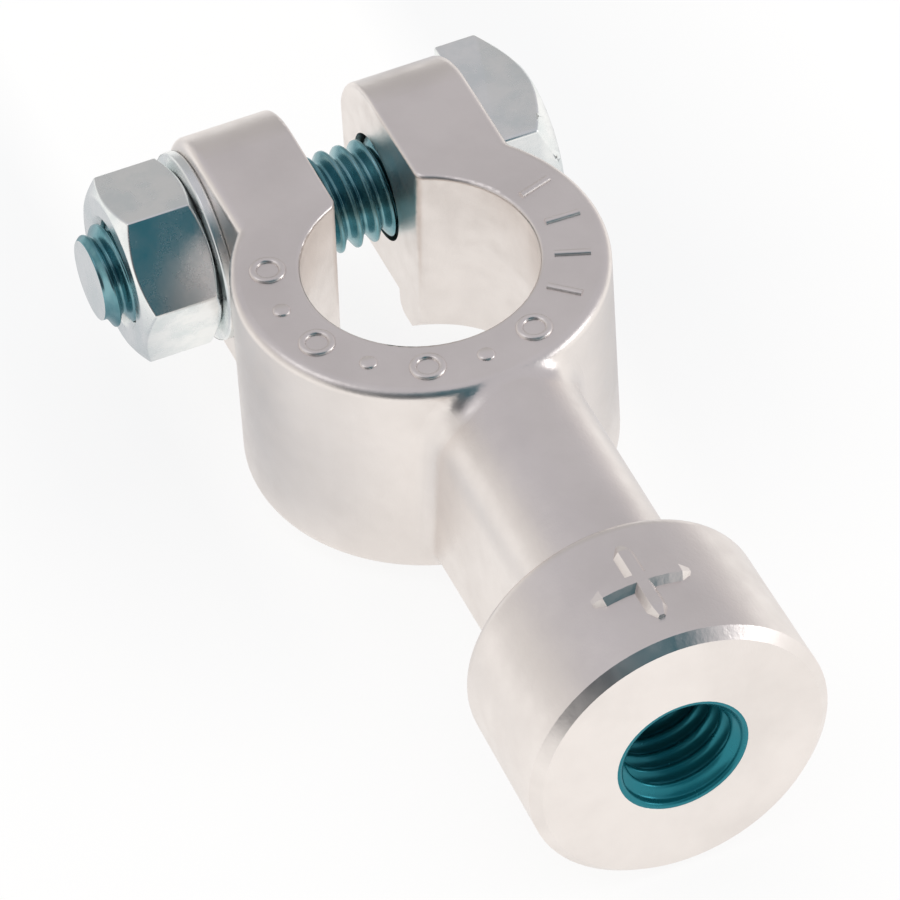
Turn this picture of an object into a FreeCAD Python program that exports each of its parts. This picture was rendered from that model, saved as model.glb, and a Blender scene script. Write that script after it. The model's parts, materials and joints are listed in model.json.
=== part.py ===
import FreeCAD, Part
import math
import os
from FreeCAD import Vector

os.makedirs("parts", exist_ok=True)

# Battery side terminal adapter: a clamp for a top post on one end, a threaded boss on the other.
# Millimetres. +Z runs up the post, +X from the post to the boss. The origin is on the post's axis,
# level with the ring's bottom.

# Post ring
post_diameter = 17.5            # the positive post, where the ring's top comes on it
post_clearance = 0.15           # on the radius, before the clamp is drawn up
post_taper = 1 / 9              # of the diameter, along the post
ring_height = 18.4
ring_wall = 5.3                 # at the top
flare_radius = 12.0             # mouth that guides the ring on to the post
flare_depth = 2.2
top_edge_round = 0.8            # outer edge of ring and ears
bore_edge_round = 0.35
foot_edge_round = 1.0

# Ears, one each side of the slot
slot_width = 6.5
ear_thickness = 7.75
ear_reach = 24.5                # post's axis to the ears' far end
ear_end_round = 7.5             # from the top down to the far end
ear_underside = 2.0             # above the ring's bottom
ear_root_round = 0.8            # where an ear's outer face meets the ring
slot_corner_round = 0.8
slot_corner_past = 0.1          # how far that round's circle reaches past the ears' end
slot_mouth_round = 1.0          # where the slot opens into the bore

# Clamp bolt, 5/16 inch coarse, with a square head
bolt_from_end = 7.2             # bolt's axis in from the ears' far end
bolt_height = 9.7
bolt_diameter = 7.94
bolt_length = 31.2              # under the head
bolt_tip_chamfer = 0.9
ear_hole_clearance = 0.35
head_flats = 12.5
head_height = 5.3
head_chamfer_radius = 5.9
head_chamfer_angle = 35.0
head_corner_round = 0.3
head_turn = 2.0                 # degrees about the bolt, from level
head_room = 0.2                 # between the ring's wall and the head's corners as it turns

# Washer and nut on the bolt's tip
washer_diameter = 14.9
washer_thickness = 0.9
washer_clearance = 0.4
washer_edge = 0.12
nut_flats = 12.7
nut_height = 6.4
nut_thread_clearance = 0.05
nut_chamfer_radius = 6.05
nut_chamfer_angle = 30.0
nut_mouth = 0.5                 # countersink, each end
nut_turn = 10.4                 # degrees about the bolt, of one corner above +X

# Neck, a bar with a round top and drafted sides, and boss
neck_radius = 6.0               # of its top
neck_below_top = 0.2            # neck's top line, under the ring's top
neck_offset = 1.05              # neck's middle from the post's axis, along +Y
neck_draft = 4.0                # degrees, each side
neck_underside = 1.2            # above the ring's bottom
neck_foot_round = 1.9
neck_round = 2.0                # where the neck meets the ring
boss_height = 10.3              # boss's axis above the ring's bottom
boss_face = 47.1                # post's axis to the boss's end face
boss_length = 13.2
boss_front_radius = 11.65
boss_back_radius = 11.45
boss_front_edge = 0.75
boss_back_edge = 1.1

# Side terminal thread, 3/8 inch coarse
side_thread_diameter = 9.525
side_thread_depth = 16.0
side_thread_mouth = 0.35        # countersink
drill_point_angle = 118.0

# Raised plus sign on the boss
plus_length = 7.6
plus_width = 2.2                # at the foot
plus_top_width = 0.8
plus_height = 0.6
plus_tip = 0.22                 # share of an arm over which it falls to its tip
plus_tip_share = 0.45           # of the width and height, at the tip
plus_sink = 0.4                 # how far its foot lies in the boss

# Sizes that follow
bore_slope = post_taper / 2
bore_top_radius = post_diameter / 2 + post_clearance
bore_foot_radius = bore_top_radius + ring_height * bore_slope
ring_radius = bore_top_radius + ring_wall
ear_inner = slot_width / 2
ear_outer = ear_inner + ear_thickness
bolt_from_post = ear_reach - bolt_from_end
neck_height = ring_height - neck_below_top - neck_radius    # of the middle of its round top
bolt_radius = bolt_diameter / 2
ear_hole_radius = bolt_radius + ear_hole_clearance
washer_outer = ear_outer + washer_thickness
side_thread_radius = side_thread_diameter / 2
over = 2.5                      # how far cutting tools run past what they cut


def box(x0, x1, y0, y1, z0, z1):
    return Part.makeBox(x1 - x0, y1 - y0, z1 - z0, Vector(x0, y0, z0))


def face_of(sides):
    return Part.Face(Part.Wire([side.toShape() for side in sides]))


def line(a, b):
    return Part.LineSegment(a, b)


def turned(outline, point, axis):
    """Solid of revolution of a closed outline about an axis."""
    return Part.Face(Part.makePolygon(outline + outline[:1])).revolve(point, axis, 360)


def edges_where(shape, test):
    """Edges whose bounding box passes a test."""
    return [edge for edge in shape.Edges if test(edge.BoundBox)]


def near(value, target, reach=0.02):
    return abs(value - target) < reach


def about_bolt(radius, y, angle):
    """Point at a radius and angle (degrees above +X) about the bolt."""
    a = math.radians(angle)
    return Vector(-bolt_from_post + radius * math.cos(a), y, bolt_height + radius * math.sin(a))


def bolt_turned(profile):
    """Solid of revolution about the bolt from (radius, y) pairs."""
    return turned([about_bolt(r, y, 0) for r, y in profile], about_bolt(0, 0, 0), Vector(0, 1, 0))


def bolt_prism(count, flats, turn, y0, y1):
    """Regular prism about the bolt, one corner at the angle turn."""
    out = flats / 2 / math.cos(math.pi / count)
    ring = [about_bolt(out, y0, turn + 360 * k / count) for k in range(count + 1)]
    return Part.Face(Part.makePolygon(ring)).extrude(Vector(0, y1 - y0, 0))


# Ear's side profile, a prism across both ears
end_x, top_z = -ear_reach, ring_height
arc_x, arc_z = end_x + ear_end_round, top_z - ear_end_round
half = math.sqrt(0.5)


def at(x, z):
    return Vector(x, -ear_outer, z)


ears = face_of([
    line(at(0, ear_underside), at(end_x, ear_underside)),
    line(at(end_x, ear_underside), at(end_x, arc_z)),
    Part.Arc(at(end_x, arc_z), at(arc_x - ear_end_round * half, arc_z + ear_end_round * half), at(arc_x, top_z)),
    line(at(arc_x, top_z), at(0, top_z)),
    line(at(0, top_z), at(0, ear_underside))]).extrude(Vector(0, 2 * ear_outer, 0))

# Ring and ears in one, with the round along their outer edge
body = Part.makeCylinder(ring_radius, ring_height).fuse(ears).removeSplitter()
root_x = -math.sqrt(ring_radius ** 2 - ear_outer ** 2)
body = body.makeFillet(ear_root_round, edges_where(body, lambda b: b.ZLength > 5 and near(b.XMin, root_x)
                                                   and near(b.XMax, root_x)))
body = body.makeFillet(top_edge_round, edges_where(
    body, lambda b: near(b.ZMin, top_z) and near(b.ZMax, top_z) and b.XLength > 1))
body = body.makeFillet(foot_edge_round, edges_where(body, lambda b: b.ZMax < 0.01 and b.XLength > 1))

# Boss, and the neck between it and the ring
boss_back = boss_face - boss_length
boss = turned([Vector(x, 0, boss_height + r) for r, x in (
    (0, boss_back), (boss_back_radius, boss_back), (boss_front_radius, boss_face - boss_front_edge),
    (boss_front_radius - boss_front_edge, boss_face), (0, boss_face))], Vector(0, 0, boss_height), Vector(1, 0, 0))
boss = boss.makeFillet(boss_back_edge, edges_where(
    boss, lambda b: near(b.XMin, boss_back) and near(b.XMax, boss_back)))
lean = math.radians(neck_draft)
shoulder_y, shoulder_z = neck_radius * math.cos(lean), neck_height + neck_radius * math.sin(lean)
neck_half = shoulder_y + (shoulder_z - neck_underside) * math.tan(lean)


def across(y, z):
    """Point on the neck's section."""
    return Vector(0, neck_offset + y, z)


neck = face_of([
    Part.Arc(across(-shoulder_y, shoulder_z), across(0, neck_height + neck_radius), across(shoulder_y, shoulder_z)),
    line(across(shoulder_y, shoulder_z), across(neck_half, neck_underside)),
    line(across(neck_half, neck_underside), across(-neck_half, neck_underside)),
    line(across(-neck_half, neck_underside), across(-shoulder_y, shoulder_z))
]).extrude(Vector(boss_back + boss_back_edge, 0, 0))
neck = neck.makeFillet(neck_foot_round, edges_where(neck, lambda b: near(b.ZMin, neck_underside)
                                                    and near(b.ZMax, neck_underside) and b.XLength > boss_back))
body = body.fuse(neck)
body = body.makeFillet(neck_round, edges_where(
    body, lambda b: ring_radius / 2 < b.XMin and b.XMax < ring_radius + 0.01 and b.ZLength > 1
    and b.ZMax > neck_height and b.YLength < 2 * neck_radius))
body = body.fuse(boss)

# Slot, its far corners rounded
past_x, foot = end_x - slot_corner_past, -over
round_x, round_y = past_x + slot_corner_round, ear_inner + slot_corner_round


def spot(x, y):
    return Vector(x, y, foot)


half_round = slot_corner_round * half
opening = face_of([
    line(spot(end_x - over, round_y), spot(end_x - over, -round_y)),
    line(spot(end_x - over, -round_y), spot(past_x, -round_y)),
    Part.Arc(spot(past_x, -round_y), spot(round_x - half_round, -round_y + half_round), spot(round_x, -ear_inner)),
    line(spot(round_x, -ear_inner), spot(0, -ear_inner)),
    line(spot(0, -ear_inner), spot(0, ear_inner)),
    line(spot(0, ear_inner), spot(round_x, ear_inner)),
    Part.Arc(spot(round_x, ear_inner), spot(round_x - half_round, round_y - half_round), spot(past_x, round_y)),
    line(spot(past_x, round_y), spot(end_x - over, round_y))]).extrude(Vector(0, 0, ring_height + 2 * over))

# Slot and tapered bore are cut as one, with the rounds between them
opening = opening.fuse(Part.makeCone(bore_foot_radius + over * bore_slope, bore_top_radius - over * bore_slope,
                                     ring_height + 2 * over, spot(0, 0))).removeSplitter()
opening = opening.makeFillet(slot_mouth_round, edges_where(
    opening, lambda b: b.ZLength > ring_height and b.YLength < 0.01 and round_x + 0.1 < b.XMin and b.XMax < 0))
body = body.cut(opening)

# Flared mouth, and the round along the bore's top
flare_slope = (flare_radius - bore_foot_radius) / flare_depth
body = body.cut(Part.makeCone(flare_radius + over * flare_slope, bore_foot_radius, flare_depth + over, spot(0, 0)))
body = body.makeFillet(bore_edge_round, edges_where(
    body, lambda b: near(b.ZMin, top_z) and near(b.ZMax, top_z) and b.XMin > -bore_foot_radius
    and b.XMax < bore_top_radius + 0.1 and abs(b.YMin) < bore_top_radius + 0.1))

# Bolt hole through both ears, room for the head to turn past the ring, and the threaded hole with its drill point
body = body.cut(Part.makeCylinder(ear_hole_radius, 2 * (ear_outer + over), about_bolt(0, -ear_outer - over, 0),
                                  Vector(0, 1, 0)))
head_reach = head_flats / math.sqrt(2) - head_corner_round * (math.sqrt(2) - 1)
body = body.cut(Part.makeCylinder(head_reach + head_room, head_height, about_bolt(0, ear_outer, 0),
                                  Vector(0, 1, 0))).removeSplitter()
mouth_radius = side_thread_radius + side_thread_mouth
hole_end = boss_face - side_thread_depth
point = side_thread_radius / math.tan(math.radians(drill_point_angle / 2))
body = body.cut(turned([Vector(x, 0, boss_height + r) for r, x in (
    (0, boss_face + over), (mouth_radius + over, boss_face + over), (side_thread_radius, boss_face - side_thread_mouth),
    (side_thread_radius, hole_end), (0, hole_end - point))], Vector(0, 0, boss_height), Vector(1, 0, 0)))

# Plus sign: one bar along the boss, one bent round it, each with sloping sides and a top that falls at its tips
plus_x = boss_face - boss_length / 2
boss_slope = (boss_front_radius - boss_back_radius) / (boss_length - boss_front_edge)


def boss_radius(x):
    return boss_back_radius + boss_slope * (x - boss_back)


def on_boss(x, round_it, height):
    """Point over the boss: place along it, distance round it, height off it."""
    a = round_it / boss_radius(plus_x)
    r = boss_radius(x) + height
    return Vector(x, r * math.sin(a), boss_height + r * math.cos(a))


def bar(inner_steps, bent):
    """Bar through sections with a wide foot and a narrow top."""
    shares = [k / inner_steps * (1 - plus_tip) for k in range(-inner_steps, inner_steps + 1)]
    sections = []
    for share in [-1] + shares + [1]:
        left = plus_tip_share if abs(share) == 1 else 1
        foot_half, top_half, height = plus_width / 2 * left, plus_top_width / 2 * left, plus_height * left
        place = plus_length / 2 * share
        corners = [(-foot_half, -plus_sink), (foot_half, -plus_sink), (top_half, height), (-top_half, height)]
        if bent:
            points = [on_boss(plus_x + side, place, up) for side, up in corners]
        else:
            points = [on_boss(plus_x + place, side, up) for side, up in corners]
        sections.append(Part.makePolygon(points + points[:1]))
    return Part.makeLoft(sections, True, True)


body = body.fuse(bar(1, False).fuse(bar(3, True)))

# Clamp bolt with its head beyond the +Y ear
head_base, head_top = ear_outer, ear_outer + head_height
head = bolt_prism(4, head_flats, 45 + head_turn, head_base, head_top)
head = head.makeFillet(head_corner_round, edges_where(head, lambda b: b.YLength > head_height - 0.01))
head_out = head_flats / 2 * math.sqrt(2) + over
head_drop = (head_out - head_chamfer_radius) * math.tan(math.radians(head_chamfer_angle))
head = head.common(bolt_turned([(0, head_base - over), (head_out, head_base - over), (head_out, head_top - head_drop),
                                (head_chamfer_radius, head_top), (0, head_top)]))
tip = head_base - bolt_length
bolt = head.fuse(bolt_turned([(0, head_base + head_height / 2), (bolt_radius, head_base + head_height / 2),
                              (bolt_radius, tip + bolt_tip_chamfer), (bolt_radius - bolt_tip_chamfer, tip), (0, tip)]))

# Washer against the -Y ear
washer_radius, washer_bore = washer_diameter / 2, bolt_radius + washer_clearance
washer = bolt_turned([(washer_bore, -ear_outer), (washer_radius - washer_edge, -ear_outer),
                      (washer_radius, -ear_outer - washer_edge), (washer_radius, -washer_outer + washer_edge),
                      (washer_radius - washer_edge, -washer_outer), (washer_bore, -washer_outer)])

# Nut on the washer, chamfered at both ends
nut_base, nut_top = -washer_outer, -washer_outer - nut_height
nut_bore = bolt_radius + nut_thread_clearance
nut_out = nut_flats / math.sqrt(3) + over
nut_drop = (nut_out - nut_chamfer_radius) * math.tan(math.radians(nut_chamfer_angle))
nut = bolt_prism(6, nut_flats, nut_turn, nut_top, nut_base).common(bolt_turned([
    (nut_bore + nut_mouth, nut_base), (nut_chamfer_radius, nut_base), (nut_out, nut_base - nut_drop),
    (nut_out, nut_top + nut_drop), (nut_chamfer_radius, nut_top), (nut_bore + nut_mouth, nut_top),
    (nut_bore, nut_top + nut_mouth), (nut_bore, nut_base - nut_mouth)]))

for name, shape in (("terminal_body", body), ("clamp_bolt", bolt), ("flat_washer", washer), ("hex_nut", nut)):
    print(name, "solids", len(shape.Solids), "valid", shape.isValid(), "volume", round(shape.Volume, 2))
    shape.exportStep("parts/" + name + ".step")
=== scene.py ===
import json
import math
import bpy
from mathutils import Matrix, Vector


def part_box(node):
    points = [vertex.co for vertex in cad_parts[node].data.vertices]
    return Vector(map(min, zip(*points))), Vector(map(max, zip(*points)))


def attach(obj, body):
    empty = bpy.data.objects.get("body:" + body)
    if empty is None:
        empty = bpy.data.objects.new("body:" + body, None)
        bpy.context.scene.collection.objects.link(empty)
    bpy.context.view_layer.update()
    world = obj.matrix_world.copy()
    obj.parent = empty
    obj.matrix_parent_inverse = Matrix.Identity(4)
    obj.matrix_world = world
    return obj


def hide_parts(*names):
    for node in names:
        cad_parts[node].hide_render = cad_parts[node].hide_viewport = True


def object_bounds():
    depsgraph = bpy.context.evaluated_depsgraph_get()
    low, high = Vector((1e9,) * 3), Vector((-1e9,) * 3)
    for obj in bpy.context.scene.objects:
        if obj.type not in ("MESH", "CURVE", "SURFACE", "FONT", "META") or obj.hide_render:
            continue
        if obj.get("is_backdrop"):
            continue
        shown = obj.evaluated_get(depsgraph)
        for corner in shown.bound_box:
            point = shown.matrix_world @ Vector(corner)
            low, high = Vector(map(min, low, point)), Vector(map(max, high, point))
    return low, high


bl_info = {
    "name": "Battery Side Terminal Adapter",
    "version": (1, 0, 0),
    "blender": (4, 5, 0),
    "location": "View3D > Sidebar > Adapter",
    "description": "Threads, cast skin, plated fasteners and studio for a cast battery terminal adapter",
    "category": "Object",
}

import bmesh
import bpy
from bpy.props import FloatProperty, FloatVectorProperty, IntProperty, PointerProperty
from mathutils import Matrix, Vector

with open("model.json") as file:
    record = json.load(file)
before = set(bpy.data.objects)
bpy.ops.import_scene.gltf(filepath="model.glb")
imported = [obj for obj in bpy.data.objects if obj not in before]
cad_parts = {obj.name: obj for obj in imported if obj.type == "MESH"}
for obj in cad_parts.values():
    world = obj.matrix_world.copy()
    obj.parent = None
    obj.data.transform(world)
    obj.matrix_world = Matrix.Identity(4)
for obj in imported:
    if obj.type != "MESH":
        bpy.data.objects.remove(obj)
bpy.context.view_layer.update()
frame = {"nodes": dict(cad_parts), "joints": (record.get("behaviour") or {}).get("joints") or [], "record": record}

MM = 0.001

# Finishes, by their materials' names
CAST = "Die cast zinc alloy"
TAPPED = "Tapped zinc alloy"
ROLLED = "Zinc plated rolled thread"
BOLT_PLATE = "Zinc plated bolt"
THREAD_ROUGHNESS = 0.22
TAPPED_METAL = 0.6
BUMP_DEPTH = 0.05 * MM

# Thread form: where a flank starts and ends, in shares of half a pitch, and how its two curves are mixed
FLANK_FROM, FLANK_TO = 0.16, 0.86
ROUNDED, STRAIGHT = 0.35, 0.65
SEAM = 0.000002                 # merge distance where a thread's grid meets itself

# How the threads meet their neighbours
FACE_GAP = 0.01 * MM            # below the face that a thread starts at
WALL_GAP = 0.03 * MM            # between the boss thread's root and the hole's wall
POINT_GAP = 0.1 * MM            # off the boss thread's length, before the drill point
RIM_SINK = 0.2 * MM             # of the boss thread's rim into the casting
HEAD_LAP = 0.6 * MM             # of the bolt's shank into its head
HEAD_LEAD = 0.3 * MM            # over which the bolt's thread starts under its head

# Copies of CAD nodes
MERGE = 0.000001
FLAT = math.radians(0.5)        # faces that meet at less are one face
SHARP = math.radians(28)        # edges that bend by more are broken
EDGE_WIDTH = 0.14 * MM

# Raised marks: name, count, first angle and step in degrees, how many kinds, and the first kind
MARK_GROUPS = (("front", 7, -110, 22.5, 2, 0), ("side", 4, 48, 20, 1, 2))
PIP_SHARE = 0.62                # of a ring mark's radius

# Camera, fitted to the photograph, with its right, up and back axes
SENSOR, LENS = 36.0, 367.97     # millimetres
EYE = (0.460361, -0.169184, 0.489661)
EYE_AXES = ((0.391106, 0.919124, -0.047395), (-0.638856, 0.308195, 0.704896), (0.662494, -0.245411, 0.707725))

# Floor and lamps: name, place, width and power
FLOOR_HALF = 1.5
FLOOR_GLOW = 0.85               # share of plain light in what the camera and the metal see of the floor
# Where the painted shadow on the floor lies
SHADE_ALONG, SHADE_NEAR, SHADE_FAR = (26, -8), (13, 18), (45, 25)    # millimetres, from none to full
LAMPS = (("key", (0.26, 0.56, 0.20), 0.26, 0.45), ("fill", (-0.15, -0.55, 0.75), 0.5, 0.35))
LAMP_AIM = Vector((0.015, 0, 0.008))

bolt_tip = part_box("clamp_bolt")[0].y
bolt_axis = Vector(next(j for j in frame["joints"] if j["name"] == "bolt_turn")["pos_m"])
boss_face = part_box("terminal_body")[1].x
boss_mount = next(m for m in frame["record"]["mounts"] if m["name"] == "boss_thread")
boss_axis = Vector(boss_mount["pos_m"])
hole_radius = boss_mount["dims"]["r_mm"] * MM
hole_length = boss_mount["dims"]["length_mm"] * MM
ring_top = 18.4 * MM            # the body's own box ends higher, at the boss's plus sign


def linear(code):
    """An sRGB hex colour as linear red, green and blue."""
    parts = [int(code[i:i + 2], 16) / 255 for i in (1, 3, 5)]
    return tuple(p / 12.92 if p <= 0.04045 else ((p + 0.055) / 1.055) ** 2.4 for p in parts)


def size(name, description, default):
    return FloatProperty(name=name, description=description, default=default, min=0, subtype="DISTANCE", unit="LENGTH",
                         precision=5)


def share(name, description, default, top=1.0):
    return FloatProperty(name=name, description=description, default=default, min=0, max=top)


def tint(name, description, code):
    return FloatVectorProperty(name=name, description=description, default=linear(code), size=3, min=0, max=1,
                               subtype="COLOR")


class ThreadSizes(bpy.types.PropertyGroup):
    bolt_pitch: size("Bolt Pitch", "Crest to crest on the clamp bolt, 5/16 inch coarse", 1.411 * MM)
    bolt_depth: size("Bolt Depth", "Crest to root on the clamp bolt", 0.80 * MM)
    bolt_radius: size("Bolt Radius", "Crest radius of the clamp bolt", 3.95 * MM)
    bolt_lead: size("Bolt Lead", "Length over which the thread starts at the tip", 0.9 * MM)
    boss_pitch: size("Boss Pitch", "Crest to crest in the boss, 3/8 inch coarse", 1.5875 * MM)
    boss_depth: size("Boss Depth", "Crest to root in the boss", 0.82 * MM)
    boss_lead: size("Boss Lead", "Length over which the thread starts at the mouth", 1.1 * MM)
    turn_steps: IntProperty(name="Steps a Turn", description="Facets round each thread", default=72, min=16, max=200)
    pitch_steps: IntProperty(name="Steps a Pitch", description="Rows along each thread's pitch", default=16, min=8,
                             max=40)


class MarkSizes(bpy.types.PropertyGroup):
    radius: size("Radius", "Post's axis to the marks", 11.3 * MM)
    height: size("Height", "How far a mark stands up", 0.24 * MM)
    stroke: size("Stroke", "Width of a mark's line", 0.60 * MM)
    ring: size("Ring", "Radius of a ring mark's line", 1.10 * MM)
    bar: size("Bar", "Length of a bar mark", 2.7 * MM)


class CastFinish(bpy.types.PropertyGroup):
    colour: tint("Colour", "Cast zinc alloy", "#F4EEEA")
    shade: tint("Shade", "Cast zinc alloy where the skin is duller", "#EAE4E0")
    roughness: share("Roughness", "Cast skin", 0.33)
    grain: size("Grain", "Grain of the cast skin", 0.35 * MM)
    # Painted reflection and shade: the boss thread's teal stands in for the dark teal surroundings it reflects and for
    # the shade deep in the hole
    thread: tint("Thread", "Cut thread in the boss, sealed and passivated", "#1C7A87")


class PlatedFinish(bpy.types.PropertyGroup):
    colour: tint("Colour", "Bright zinc plate", "#F8FAF9")
    shade: tint("Shade", "Zinc plate where its passive film is thicker", "#EAF0F0")
    # Painted reflection: both thread colours are teal, standing in for the dark teal surroundings that the bright
    # thread reflects; between them the tone varies at random
    thread: tint("Thread", "Rolled thread, where the passive film is thickest", "#82AEB6")
    thread_shade: tint("Thread Shade", "Thin patches on the thread", "#5D929C")
    roughness: share("Roughness", "Zinc plate", 0.24)


class Studio(bpy.types.PropertyGroup):
    floor: tint("Floor", "Pale floor", "#FFFDFB")
    # Painted shadow: the floor's colour beside the object, standing in for its soft shade
    floor_shade: tint("Floor Shade", "Pale floor in the object's soft shade, as the metal shows it", "#D2D3D6")
    dark: tint("Dark Side", "Dark cloth behind the photographer, which bright metal shows", "#1B5764")
    horizon: tint("Horizon", "Walls at the table's level", "#E0DDDB")
    upper: tint("Upper Side", "Grey ceiling", "#C2C0C5")
    right: tint("Right Side", "Wall to the right", "#D4CFD0")
    back: tint("Back", "Darker wall behind the object", "#B9B7B7")
    left: tint("Left Side", "Dark stand to the photographer's left", "#5A5C60")


def add(tree, kind, inputs=None, **settings):
    """Adds a node, gives it its settings, and fills or links its inputs."""
    made = tree.nodes.new(kind)
    for key, value in settings.items():
        setattr(made, key, value)
    for key, value in (inputs or {}).items():
        if isinstance(value, bpy.types.NodeSocket):
            tree.links.new(value, made.inputs[key])
        else:
            made.inputs[key].default_value = value
    return made


def new_material(name):
    made = bpy.data.materials.new(name)
    made.use_nodes = True
    made.node_tree.nodes.clear()
    return made, made.node_tree


def new_object(name, data):
    made = bpy.data.objects.new(name, data)
    bpy.context.scene.collection.objects.link(made)
    return made


def maths(tree, operation, *values):
    return add(tree, "ShaderNodeMath", dict(enumerate(values)), operation=operation).outputs[0]


def ramp(tree, value, low, high, bottom=0.0, top=1.0, **settings):
    """A value that runs from bottom to top while another runs from low to high."""
    return add(tree, "ShaderNodeMapRange", {"Value": value, "From Min": low, "From Max": high, "To Min": bottom,
                                            "To Max": top}, **settings).outputs["Result"]


def noise(tree, place, grain, detail, roughness=0.5):
    """Noise whose features are about one grain across."""
    return add(tree, "ShaderNodeTexNoise", {"Vector": place, "Scale": 1 / grain, "Detail": detail,
                                            "Roughness": roughness}).outputs["Fac"]


def blend(tree, factor, first, second):
    """Mixes two colours, each three linear shares or another node's output."""
    ends = [paint if isinstance(paint, bpy.types.NodeSocket) else (*paint, 1) for paint in (first, second)]
    return add(tree, "ShaderNodeMix", {"Factor": factor, 6: ends[0], 7: ends[1]}, data_type="RGBA").outputs[2]


def polar(tree, radius, angle, height):
    """A point by its radius and angle about Z, and its height."""
    return add(tree, "ShaderNodeCombineXYZ", {0: maths(tree, "MULTIPLY", radius, maths(tree, "COSINE", angle)),
                                              1: maths(tree, "MULTIPLY", radius, maths(tree, "SINE", angle)),
                                              2: height}).outputs[0]


def metal_surface(tree, colour, metal, roughness, height, strength):
    """Ends a material in a metal shader with a fine bump."""
    bump = add(tree, "ShaderNodeBump", {"Height": height, "Strength": strength, "Distance": BUMP_DEPTH})
    shader = add(tree, "ShaderNodeBsdfPrincipled", {"Base Color": colour, "Metallic": metal, "Roughness": roughness,
                                                    "Normal": bump.outputs["Normal"]})
    add(tree, "ShaderNodeOutputMaterial", {"Surface": shader.outputs[0]})


def cast_material(finish):
    """Zinc alloy as it leaves the die: a bright satin skin with faint cold-flow mottling and fine grain."""
    made, tree = new_material(CAST)
    place = add(tree, "ShaderNodeTexCoord").outputs["Object"]
    mottle = noise(tree, place, 9 * MM, 4.0, 0.55)
    fine = noise(tree, place, finish.grain, 3.0, 0.6)
    pits = noise(tree, place, 1.6 * MM, 3.0)
    colour = blend(tree, ramp(tree, mottle, 0.38, 0.68), finish.colour, finish.shade)
    rough = ramp(tree, pits, 0.3, 0.7, finish.roughness - 0.05, finish.roughness + 0.07)
    metal_surface(tree, colour, 1.0, rough, maths(tree, "ADD", fine, pits), 0.30)
    return made


def plated_material(name, base, shade, roughness, metal=1.0):
    """Smooth metal with cloudy patches in its passive film: zinc plate, rolled thread or the boss's cut thread."""
    made, tree = new_material(name)
    place = add(tree, "ShaderNodeTexCoord").outputs["Object"]
    clouds = noise(tree, place, 2.5 * MM, 5.0, 0.6)
    fine = noise(tree, place, 0.5 * MM, 3.0)
    colour = blend(tree, ramp(tree, clouds, 0.4, 0.65), base, shade)
    rough = ramp(tree, clouds, 0.3, 0.7, roughness - 0.03, roughness + 0.08)
    metal_surface(tree, colour, metal, rough, fine, 0.10)
    return made


def material(name):
    """A finish by its name, made on first use."""
    if name in bpy.data.materials:
        return bpy.data.materials[name]
    cast, plate = bpy.context.scene.cast_finish, bpy.context.scene.plated_finish
    if name == CAST:
        return cast_material(cast)
    # The boss's thread takes one colour, its painted teal reflection and shade
    if name == TAPPED:
        return plated_material(name, cast.thread, cast.thread, THREAD_ROUGHNESS, TAPPED_METAL)
    # The bolt's rolled thread takes its painted teal reflection
    if name == ROLLED:
        return plated_material(name, plate.thread, plate.thread_shade, THREAD_ROUGHNESS)
    return plated_material(name, plate.colour, plate.shade, plate.roughness)


def new_tree(name, inputs):
    """Geometry node tree with named inputs, each a (name, socket kind, default) triple."""
    tree = bpy.data.node_groups.new(name, "GeometryNodeTree")
    for label, kind, default in inputs:
        socket = tree.interface.new_socket(label, in_out="INPUT", socket_type="NodeSocket" + kind)
        if default is not None:
            socket.default_value = default
    tree.interface.new_socket("Geometry", in_out="OUTPUT", socket_type="NodeSocketGeometry")
    return tree, add(tree, "NodeGroupInput")


def grow(tree, name, values):
    """Runs a geometry node tree with its inputs by name, and returns the plain mesh object it makes."""
    seed = new_object(name, bpy.data.meshes.new(name))
    modifier = seed.modifiers.new(tree.name, "NODES")
    modifier.node_group = tree
    for item in tree.interface.items_tree:
        if item.in_out == "INPUT" and item.name in values:
            modifier[item.identifier] = values[item.name]
    bpy.context.view_layer.update()
    graph = bpy.context.evaluated_depsgraph_get()
    mesh = bpy.data.meshes.new_from_object(seed.evaluated_get(graph))
    seed.modifiers.remove(modifier)
    seed.data = mesh
    mesh.name = name
    return seed


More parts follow.
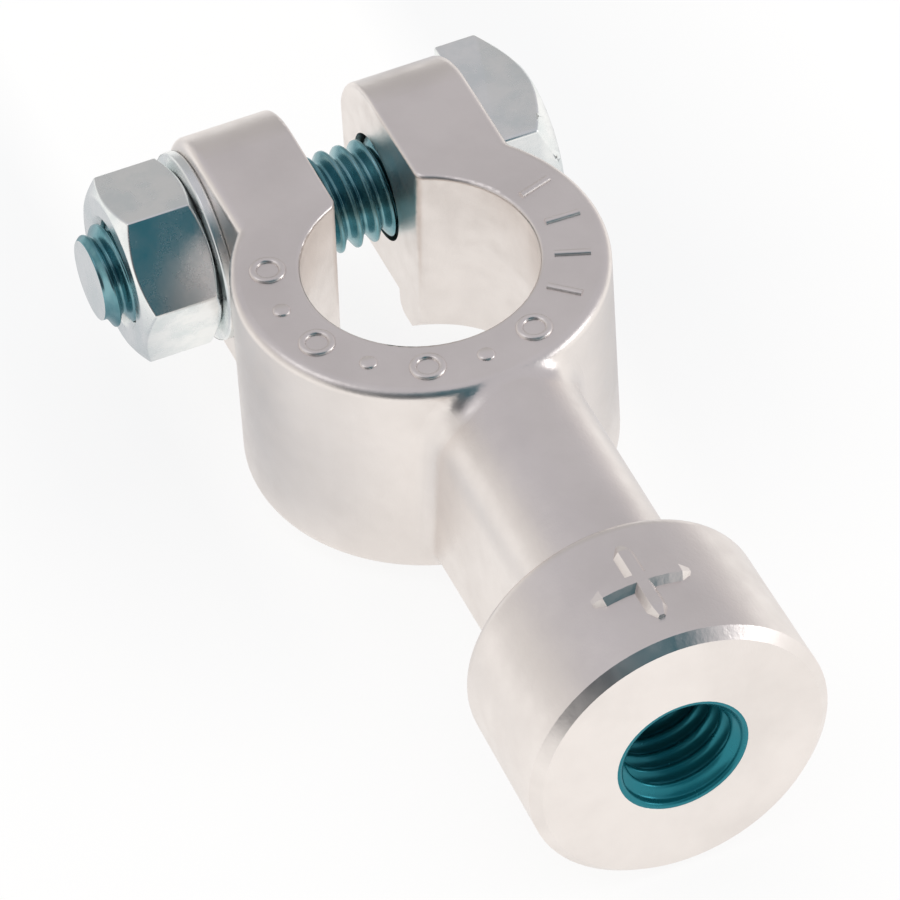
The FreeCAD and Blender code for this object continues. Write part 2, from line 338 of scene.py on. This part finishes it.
def thread_tree():
    """A screw thread: a grid bent round an axis, its radius rising and falling once each pitch."""
    tree, given = new_tree("Screw Thread", [
        ("Length", "Float", 0.03), ("Pitch", "Float", 0.0014), ("Base Radius", "Float", 0.003),
        ("Ridge", "Float", 0.0008), ("End Radius", "Float", 0.0), ("Start Lead", "Float", 0.0005),
        ("End Lead", "Float", 0.0009), ("Inside", "Float", 0.0), ("Mouth", "Float", 0.0), ("Rows", "Int", 400),
        ("Steps", "Int", 72), ("Place", "Vector", (0, 0, 0)), ("Turn", "Rotation", None),
        ("Material", "Material", None), ("Tip Material", "Material", None)])
    g = given.outputs

    # The grid's rows lie along the axis, its columns round it, and its first and last rows close the ends
    grid = add(tree, "GeometryNodeMeshGrid", {"Size X": 1.0, "Size Y": 1.0, "Vertices X": g["Rows"],
                                              "Vertices Y": maths(tree, "ADD", g["Steps"], 1.0)})
    spot = add(tree, "ShaderNodeSeparateXYZ", {0: add(tree, "GeometryNodeInputPosition").outputs[0]}).outputs
    last = maths(tree, "SUBTRACT", g["Rows"], 1.0)
    row = maths(tree, "ROUND", maths(tree, "MULTIPLY", maths(tree, "ADD", spot[0], 0.5), last))
    turn = maths(tree, "ADD", spot[1], 0.5)
    inner = maths(tree, "DIVIDE", maths(tree, "SUBTRACT", row, 1.0), maths(tree, "SUBTRACT", last, 2.0))
    along_share = add(tree, "ShaderNodeClamp", {0: inner}).outputs[0]
    along = maths(tree, "MULTIPLY", along_share, g["Length"])
    is_first = maths(tree, "LESS_THAN", row, 0.5)
    is_last = maths(tree, "GREATER_THAN", row, maths(tree, "SUBTRACT", last, 0.5))
    is_end = maths(tree, "MAXIMUM", is_first, is_last)

    # The ridge, with eight whole turns added to keep its phase above zero
    pitches = maths(tree, "DIVIDE", along, g["Pitch"])
    phase = maths(tree, "FRACT", maths(tree, "ADD", maths(tree, "SUBTRACT", pitches, turn), 8.0))
    slope = maths(tree, "MULTIPLY", maths(tree, "ABSOLUTE", maths(tree, "SUBTRACT", phase, 0.5)), 2.0)
    rounded = ramp(tree, slope, FLANK_FROM, FLANK_TO, interpolation_type="SMOOTHSTEP")
    straight = ramp(tree, slope, FLANK_FROM, FLANK_TO)
    ridge = maths(tree, "ADD", maths(tree, "MULTIPLY", rounded, ROUNDED), maths(tree, "MULTIPLY", straight, STRAIGHT))
    start = maths(tree, "DIVIDE", along, g["Start Lead"])
    end = maths(tree, "DIVIDE", maths(tree, "SUBTRACT", g["Length"], along), g["End Lead"])
    lead = add(tree, "ShaderNodeClamp", {0: maths(tree, "MINIMUM", start, end)}).outputs[0]
    ridge = maths(tree, "MULTIPLY", maths(tree, "MULTIPLY", ridge, lead), g["Ridge"])
    flare = maths(tree, "MAXIMUM", maths(tree, "SUBTRACT", g["Mouth"], along), 0.0)
    radius = maths(tree, "ADD", maths(tree, "ADD", g["Base Radius"], ridge), flare)
    radius = add(tree, "ShaderNodeMix", {0: is_end, 2: radius, 3: g["End Radius"]}, data_type="FLOAT").outputs[0]

    # An inside thread's last row goes back to its first, which closes it behind the wall
    back = maths(tree, "SUBTRACT", 1.0, maths(tree, "MULTIPLY", is_last, g["Inside"]))
    point = polar(tree, radius, maths(tree, "MULTIPLY", turn, 2 * math.pi), maths(tree, "MULTIPLY", along, back))
    marked = add(tree, "GeometryNodeCaptureAttribute", {"Geometry": grid.outputs["Mesh"]}, domain="POINT")
    marked.capture_items.new("FLOAT", "End")
    tree.links.new(is_end, marked.inputs[1])
    bent = add(tree, "GeometryNodeSetPosition", {"Geometry": marked.outputs[0], "Position": point})
    closed = add(tree, "GeometryNodeMergeByDistance", {"Geometry": bent.outputs[0], "Distance": SEAM})
    round_side = maths(tree, "LESS_THAN", marked.outputs[1], 0.25)
    smooth = add(tree, "GeometryNodeSetShadeSmooth", {"Geometry": closed.outputs[0], "Shade Smooth": round_side})
    placed = add(tree, "GeometryNodeTransform", {"Geometry": smooth.outputs[0], "Translation": g["Place"],
                                                 "Rotation": g["Turn"]})
    real = add(tree, "GeometryNodeRealizeInstances", {0: placed.outputs[0]})
    dressed = add(tree, "GeometryNodeSetMaterial", {"Geometry": real.outputs[0], "Material": g["Material"]})
    flat_end = maths(tree, "GREATER_THAN", marked.outputs[1], 0.01)
    dressed = add(tree, "GeometryNodeSetMaterial", {"Geometry": dressed.outputs[0], "Selection": flat_end,
                                                    "Material": g["Tip Material"]})
    add(tree, "NodeGroupOutput", {"Geometry": dressed.outputs[0]})
    return tree


def outward(piece):
    """Turns a closed piece's faces to point out of its solid."""
    mesh = bmesh.new()
    mesh.from_mesh(piece.data)
    bmesh.ops.recalc_face_normals(mesh, faces=mesh.faces)
    mesh.to_mesh(piece.data)
    mesh.free()


def finished_copy(node, name, keep=lambda v: True):
    """A merged copy of a CAD node with its edges broken, as forming and plating leave them."""
    mesh = bmesh.new()
    mesh.from_mesh(frame["nodes"][node].data)
    bmesh.ops.remove_doubles(mesh, verts=mesh.verts, dist=MERGE)
    gone = [v for v in mesh.verts if not keep(v.co)]
    if gone:
        bmesh.ops.delete(mesh, geom=gone, context="VERTS")
        bmesh.ops.holes_fill(mesh, edges=[e for e in mesh.edges if e.is_boundary])
    bmesh.ops.dissolve_limit(mesh, angle_limit=FLAT, verts=mesh.verts, edges=mesh.edges)
    bmesh.ops.recalc_face_normals(mesh, faces=mesh.faces)
    data = bpy.data.meshes.new(name)
    mesh.to_mesh(data)
    mesh.free()
    data.shade_smooth()
    data.set_sharp_from_angle(angle=SHARP)
    piece = new_object(name, data)
    edge = piece.modifiers.new("Edges", "BEVEL")
    edge.width, edge.segments, edge.limit_method, edge.use_clamp_overlap = EDGE_WIDTH, 2, "ANGLE", False
    edge.angle_limit, edge.harden_normals = SHARP, True
    return piece


def floor_material(studio):
    """Pale floor, white to the camera, with a painted soft shadow beside the object that only the metal shows."""
    made, tree = new_material("Pale floor")
    path = add(tree, "ShaderNodeLightPath").outputs
    mirrored = maths(tree, "MAXIMUM", path["Is Glossy Ray"], path["Is Transmission Ray"])
    seen = maths(tree, "MAXIMUM", maths(tree, "MULTIPLY", path["Is Camera Ray"], FLOOR_GLOW),
                 maths(tree, "MULTIPLY", mirrored, FLOOR_GLOW))
    spot = add(tree, "ShaderNodeSeparateXYZ", {0: add(tree, "ShaderNodeTexCoord").outputs["Object"]}).outputs
    aside = maths(tree, "ABSOLUTE", spot[1])
    behind, near_side, far_side = (ramp(tree, value, none * MM, full * MM) for value, (none, full) in (
        (spot[0], SHADE_ALONG), (aside, SHADE_NEAR), (aside, SHADE_FAR)))
    shaded = maths(tree, "MULTIPLY", behind, maths(tree, "MULTIPLY", near_side, far_side))
    # Painted shadow: the floor's colour darkens by place beside and behind the object
    painted_shade_paper = blend(tree, shaded, studio.floor, studio.floor_shade)
    shown = blend(tree, path["Is Camera Ray"], painted_shade_paper, (1, 1, 1))
    plain = add(tree, "ShaderNodeBsdfDiffuse", {"Color": painted_shade_paper})
    lit = add(tree, "ShaderNodeEmission", {"Color": shown, "Strength": 1.0})
    mixed = add(tree, "ShaderNodeMixShader", {0: seen, 1: plain.outputs[0], 2: lit.outputs[0]})
    add(tree, "ShaderNodeOutputMaterial", {"Surface": mixed.outputs[0]})
    return made


def studio_world(studio):
    """Surroundings that the metal shows, each laid over the last round its own direction, and a white backdrop."""
    world = bpy.data.worlds.new("Studio")
    world.use_nodes = True
    tree = world.node_tree
    tree.nodes.clear()
    way = add(tree, "ShaderNodeTexCoord").outputs["Generated"]
    colour = studio.floor
    for aim, none, full, paint in (
            ((0, 0, 1), -0.30, 0.10, studio.horizon), ((0, 0.18, 1), 0.10, 0.45, studio.upper),
            ((-0.66, 0.73, -0.15), 0.88, 0.99, studio.right), ((-0.95, 0.22, 0.22), 0.82, 0.97, studio.back),
            ((0.78, -0.02, 0.63), 0.80, 0.93, studio.dark), ((0.66, -0.62, 0.42), 0.84, 0.95, studio.left)):
        value = add(tree, "ShaderNodeVectorMath", {0: way, 1: aim}, operation="DOT_PRODUCT").outputs["Value"]
        colour = blend(tree, ramp(tree, value, none, full, interpolation_type="SMOOTHSTEP"), colour, paint)
    path = add(tree, "ShaderNodeLightPath").outputs
    around = add(tree, "ShaderNodeBackground", {"Color": colour, "Strength": 1.0})
    white = add(tree, "ShaderNodeBackground", {"Color": (1, 1, 1, 1), "Strength": 1.0})
    soft = maths(tree, "MAXIMUM", path["Is Camera Ray"], path["Is Diffuse Ray"])
    both = add(tree, "ShaderNodeMixShader", {0: soft, 1: around.outputs[0], 2: white.outputs[0]})
    add(tree, "ShaderNodeOutputWorld", {"Surface": both.outputs[0]})
    return world


class ADAPTER_OT_stage(bpy.types.Operator):
    """Camera, pale floor, soft lamps and surroundings"""
    bl_idname = "adapter.stage"
    bl_label = "Stage"

    def execute(self, context):
        scene = context.scene
        lens = bpy.data.cameras.new("Camera")
        lens.sensor_width, lens.lens = SENSOR, LENS
        lens.clip_start, lens.clip_end = 0.05, 20.0
        camera = new_object("Camera", lens)
        camera.matrix_world = Matrix.Translation(EYE) @ Matrix(EYE_AXES).transposed().to_4x4()
        scene.camera = camera
        scene.view_settings.view_transform = "Standard"

        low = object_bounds()[0].z
        mesh = bpy.data.meshes.new("floor")
        corners = [(x * FLOOR_HALF, y * FLOOR_HALF, low) for x, y in ((-1, -1), (1, -1), (1, 1), (-1, 1))]
        mesh.from_pydata(corners, [], [(0, 1, 2, 3)])
        floor = new_object("floor", mesh)
        mesh.materials.append(floor_material(scene.studio))
        floor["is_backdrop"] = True

        for name, place, width, power in LAMPS:
            lamp = bpy.data.lights.new(name, "AREA")
            lamp.shape, lamp.size, lamp.energy = "DISK", width, power
            holder = new_object(name, lamp)
            holder.location = place
            holder.rotation_euler = (LAMP_AIM - Vector(place)).to_track_quat("-Z", "Y").to_euler()

        scene.world = studio_world(scene.studio)
        return {"FINISHED"}


class ADAPTER_OT_cast_body(bpy.types.Operator):
    """Cast skin on the terminal body"""
    bl_idname = "adapter.cast_body"
    bl_label = "Cast Body"

    def execute(self, context):
        node = frame["nodes"]["terminal_body"]
        node.data.materials.clear()
        node.data.materials.append(material(CAST))
        return {"FINISHED"}


def mark_tree():
    """Raised marks along an arc: a ring, a pip and a bar, taken in turn from the first one named."""
    tree, given = new_tree("Raised Marks", [
        ("Count", "Int", 7), ("Radius", "Float", 0.011), ("Level", "Float", 0.0184), ("First", "Float", 0.0),
        ("Step", "Float", 0.4), ("Ring", "Float", 0.001), ("Bar", "Float", 0.0026), ("Stroke", "Float", 0.0004),
        ("Rise", "Float", 0.0002), ("Kinds", "Int", 2), ("Kind", "Int", 0), ("Material", "Material", None)])
    g = given.outputs
    index = add(tree, "GeometryNodeInputIndex").outputs[0]
    angle = maths(tree, "ADD", g["First"], maths(tree, "MULTIPLY", index, g["Step"]))
    row = add(tree, "GeometryNodeMeshLine", {"Count": g["Count"]})
    placed = add(tree, "GeometryNodeSetPosition", {"Geometry": row.outputs[0],
                                                   "Position": polar(tree, g["Radius"], angle, g["Level"])})
    facing = add(tree, "ShaderNodeCombineXYZ", {2: angle})
    half = maths(tree, "MULTIPLY", g["Stroke"], 0.5)
    section = add(tree, "GeometryNodeCurvePrimitiveCircle", {"Resolution": 12, "Radius": half})
    ring_line = add(tree, "GeometryNodeCurvePrimitiveCircle", {"Resolution": 32, "Radius": g["Ring"]})
    ring = add(tree, "GeometryNodeCurveToMesh", {0: ring_line.outputs[0], 1: section.outputs[0]})
    reach = maths(tree, "MULTIPLY", g["Bar"], 0.5)
    bar_line = add(tree, "GeometryNodeCurvePrimitiveLine", {
        "Start": add(tree, "ShaderNodeCombineXYZ", {0: maths(tree, "MULTIPLY", reach, -1.0)}).outputs[0],
        "End": add(tree, "ShaderNodeCombineXYZ", {0: reach}).outputs[0]})
    bar = add(tree, "GeometryNodeCurveToMesh", {0: bar_line.outputs[0], 1: section.outputs[0], "Fill Caps": True})
    pip_radius = maths(tree, "MULTIPLY", g["Ring"], PIP_SHARE)
    pip = add(tree, "GeometryNodeMeshUVSphere", {"Segments": 24, "Rings": 12, "Radius": pip_radius})
    flat, low = (add(tree, "ShaderNodeCombineXYZ", {0: 1.0, 1: 1.0, 2: maths(tree, "DIVIDE", g["Rise"], thick)})
                 for thick in (half, pip_radius))
    choice = add(tree, "GeometryNodeJoinGeometry")
    for shape, squash in ((bar, flat), (pip, low), (ring, flat)):
        pressed = add(tree, "GeometryNodeTransform", {"Geometry": shape.outputs[0], "Scale": squash.outputs[0]})
        whole = add(tree, "GeometryNodeGeometryToInstance", {0: pressed.outputs[0]})
        tree.links.new(whole.outputs[0], choice.inputs[0])
    pick = maths(tree, "ADD", maths(tree, "MODULO", index, g["Kinds"]), g["Kind"])
    marks = add(tree, "GeometryNodeInstanceOnPoints", {
        "Points": placed.outputs[0], "Instance": choice.outputs[0], "Pick Instance": True, "Instance Index": pick,
        "Rotation": facing.outputs[0]})
    real = add(tree, "GeometryNodeRealizeInstances", {0: marks.outputs[0]})
    smooth = add(tree, "GeometryNodeSetShadeSmooth", {0: real.outputs[0]})
    dressed = add(tree, "GeometryNodeSetMaterial", {"Geometry": smooth.outputs[0], "Material": g["Material"]})
    add(tree, "NodeGroupOutput", {"Geometry": dressed.outputs[0]})
    return tree


class ADAPTER_OT_ring_marks(bpy.types.Operator):
    """Small raised foundry marks on the ring's top"""
    bl_idname = "adapter.ring_marks"
    bl_label = "Ring Marks"

    def execute(self, context):
        sizes = context.scene.marks
        tree = mark_tree()
        for name, count, first, step, kinds, kind in MARK_GROUPS:
            piece = grow(tree, "ring_marks_" + name, {
                "Count": count, "Radius": sizes.radius, "Level": ring_top, "First": math.radians(first),
                "Step": math.radians(step), "Ring": sizes.ring, "Bar": sizes.bar, "Stroke": sizes.stroke,
                "Rise": sizes.height, "Kinds": kinds, "Kind": kind, "Material": material(CAST)})
            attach(piece, "adapter")
        return {"FINISHED"}


class ADAPTER_OT_boss_thread(bpy.types.Operator):
    """Screw thread inside the boss"""
    bl_idname = "adapter.boss_thread"
    bl_label = "Boss Thread"

    def execute(self, context):
        sizes = context.scene.threads
        rows = int(hole_length / sizes.boss_pitch * sizes.pitch_steps) + 2
        start = boss_face - FACE_GAP
        # The mount's place is the middle of the whole hole, so this is half of the countersink's depth
        mouth = boss_face - boss_axis.x - hole_length / 2
        turn = Vector((-1, 0, 0)).to_track_quat("Z", "Y").to_euler()
        piece = grow(thread_tree(), "boss_thread", {
            "Length": hole_length + mouth - POINT_GAP, "Pitch": sizes.boss_pitch,
            "Base Radius": hole_radius - WALL_GAP, "Ridge": -sizes.boss_depth,
            "End Radius": hole_radius + mouth + RIM_SINK, "Start Lead": sizes.boss_lead, "End Lead": sizes.boss_lead,
            "Inside": 1.0, "Mouth": mouth, "Rows": rows, "Steps": sizes.turn_steps,
            "Place": (start, boss_axis.y, boss_axis.z), "Turn": turn, "Material": material(TAPPED),
            "Tip Material": material(TAPPED)})
        outward(piece)
        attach(piece, "adapter")
        return {"FINISHED"}


class ADAPTER_OT_clamp_bolt(bpy.types.Operator):
    """Square head and threaded shank of the clamp bolt"""
    bl_idname = "adapter.clamp_bolt"
    bl_label = "Clamp Bolt"

    def execute(self, context):
        sizes = context.scene.threads
        # The ears are alike, so the head sits as far out as the washer
        under_head = -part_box("flat_washer")[1].y
        head = finished_copy("clamp_bolt", "clamp_bolt_head", keep=lambda v: v.y > under_head - FACE_GAP)
        head.data.materials.append(material(BOLT_PLATE))

        start = under_head + HEAD_LAP
        length = start - bolt_tip
        rows = int(length / sizes.bolt_pitch * sizes.pitch_steps) + 2
        turn = Vector((0, -1, 0)).to_track_quat("Z", "Y").to_euler()
        shank = grow(thread_tree(), "clamp_bolt_thread", {
            "Length": length, "Pitch": sizes.bolt_pitch, "Base Radius": sizes.bolt_radius - sizes.bolt_depth,
            "Ridge": sizes.bolt_depth, "End Radius": 0.0, "Start Lead": HEAD_LEAD, "End Lead": sizes.bolt_lead,
            "Inside": 0.0, "Rows": rows, "Steps": sizes.turn_steps, "Place": (bolt_axis.x, start, bolt_axis.z),
            "Turn": turn, "Material": material(ROLLED), "Tip Material": material(BOLT_PLATE)})
        outward(shank)
        for piece in (head, shank):
            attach(piece, "bolt")
            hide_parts("clamp_bolt")
        return {"FINISHED"}


class ADAPTER_OT_nut_washer(bpy.types.Operator):
    """Zinc plate on the nut and washer"""
    bl_idname = "adapter.nut_washer"
    bl_label = "Nut and Washer"

    def execute(self, context):
        for node, body, slot, finish in (("hex_nut", "nut", "plated_nut", "Zinc plated nut"),
                                         ("flat_washer", "washer", "plated_washer", "Zinc plated washer")):
            piece = finished_copy(node, node + "_plated")
            piece.data.materials.append(material(finish))
            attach(piece, body)
            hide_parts(node)
        return {"FINISHED"}


class ADAPTER_PT_panel(bpy.types.Panel):
    """The adapter's steps and their sizes"""
    bl_idname = "ADAPTER_PT_panel"
    bl_label = "Adapter"
    bl_space_type = "VIEW_3D"
    bl_region_type = "UI"
    bl_category = "Adapter"

    def draw(self, context):
        for group in GROUPS:
            holder = getattr(context.scene, GROUPS[group])
            box = self.layout.box()
            for name in group.__annotations__:
                box.prop(holder, name)
        for step in STEPS:
            self.layout.operator(step.bl_idname)


GROUPS = {ThreadSizes: "threads", MarkSizes: "marks", CastFinish: "cast_finish", PlatedFinish: "plated_finish",
          Studio: "studio"}
STEPS = (ADAPTER_OT_stage, ADAPTER_OT_cast_body, ADAPTER_OT_ring_marks, ADAPTER_OT_boss_thread, ADAPTER_OT_clamp_bolt,
         ADAPTER_OT_nut_washer)


def register():
    for group, name in GROUPS.items():
        bpy.utils.register_class(group)
        setattr(bpy.types.Scene, name, PointerProperty(type=group))
    for made in (*STEPS, ADAPTER_PT_panel):
        bpy.utils.register_class(made)


def unregister():
    for made in (ADAPTER_PT_panel, *reversed(STEPS)):
        bpy.utils.unregister_class(made)
    for group, name in GROUPS.items():
        delattr(bpy.types.Scene, name)
        bpy.utils.unregister_class(group)


def main():
    register()
    for step in STEPS:
        name = step.bl_idname.split(".")[1]
        getattr(bpy.ops.adapter, name)()


if __name__ == "__main__":
    main()
